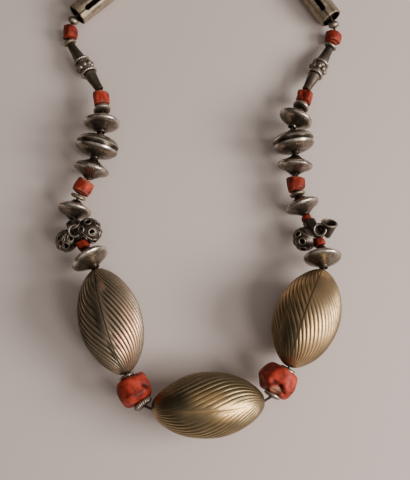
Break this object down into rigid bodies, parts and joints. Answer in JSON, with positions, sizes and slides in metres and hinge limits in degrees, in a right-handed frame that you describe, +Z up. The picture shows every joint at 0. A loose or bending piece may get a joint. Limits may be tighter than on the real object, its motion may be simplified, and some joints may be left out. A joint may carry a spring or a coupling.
{
  "type": "coral necklace",
  "caption": "Folk necklace of large fluted silver beads, turned and openwork silver beads and red coral on a closed string, lying flat with its loop open.",
  "frame": {"origin": "centre of the bounding box, on the surface the necklace lies on", "axes": "+Z up, +Y from the large centre bead towards the back of the neck, +X to the right as the picture shows it"},
  "size_m": [0.0964, 0.1828, 0.0205],
  "materials": {
    "gilt_silver": "worn, softly polished, with dark flutes",
    "silver": "worn and tarnished, softly polished on high spots",
    "dark_silver": "oxidised, bright on the edges",
    "coral": "polished, worn",
    "thread": "waxed"
  },
  "bodies": {
    "root": {"thread": "thread", "barrel_centre": "gilt_silver", "clasp": "silver", "ring_right_1": "dark_silver", "coral_large_right": "coral", "ring_right_2": "dark_silver", "barrel_right": "silver", "bicone_right_1": "silver", "coral_small_right_1": "coral", "openwork_right": "dark_silver", "coral_small_right_2": "coral", "bicone_right_2": "silver", "ring_right_3": "dark_silver", "coral_mid_right": "coral", "bicone_right_3": "silver", "lens_right": "silver", "bicone_right_4": "silver", "ring_right_4": "dark_silver", "coral_tube_right": "coral", "spindle_right": "dark_silver", "ring_right_5": "dark_silver", "coral_top_right": "coral", "ball_right": "silver", "tube_right": "silver", "ring_right_6": "dark_silver", "coral_back_right": "coral", "ring_right_7": "dark_silver", "ring_left_1": "dark_silver", "coral_large_left": "coral", "ring_left_2": "dark_silver", "barrel_left": "silver", "bicone_left_1": "silver", "coral_small_left": "coral", "openwork_left": "dark_silver", "bicone_left_2": "silver", "ring_left_3": "dark_silver", "coral_mid_left": "coral", "bicone_left_3": "silver", "lens_left": "silver", "bicone_left_4": "silver", "ring_left_4": "dark_silver", "coral_tube_left": "coral", "spindle_left": "dark_silver", "ring_left_5": "dark_silver", "coral_top_left": "coral", "ball_left": "silver", "tube_left": "silver", "ring_left_6": "dark_silver", "coral_back_left": "coral", "ring_left_7": "dark_silver"}
  },
  "joints": []
}
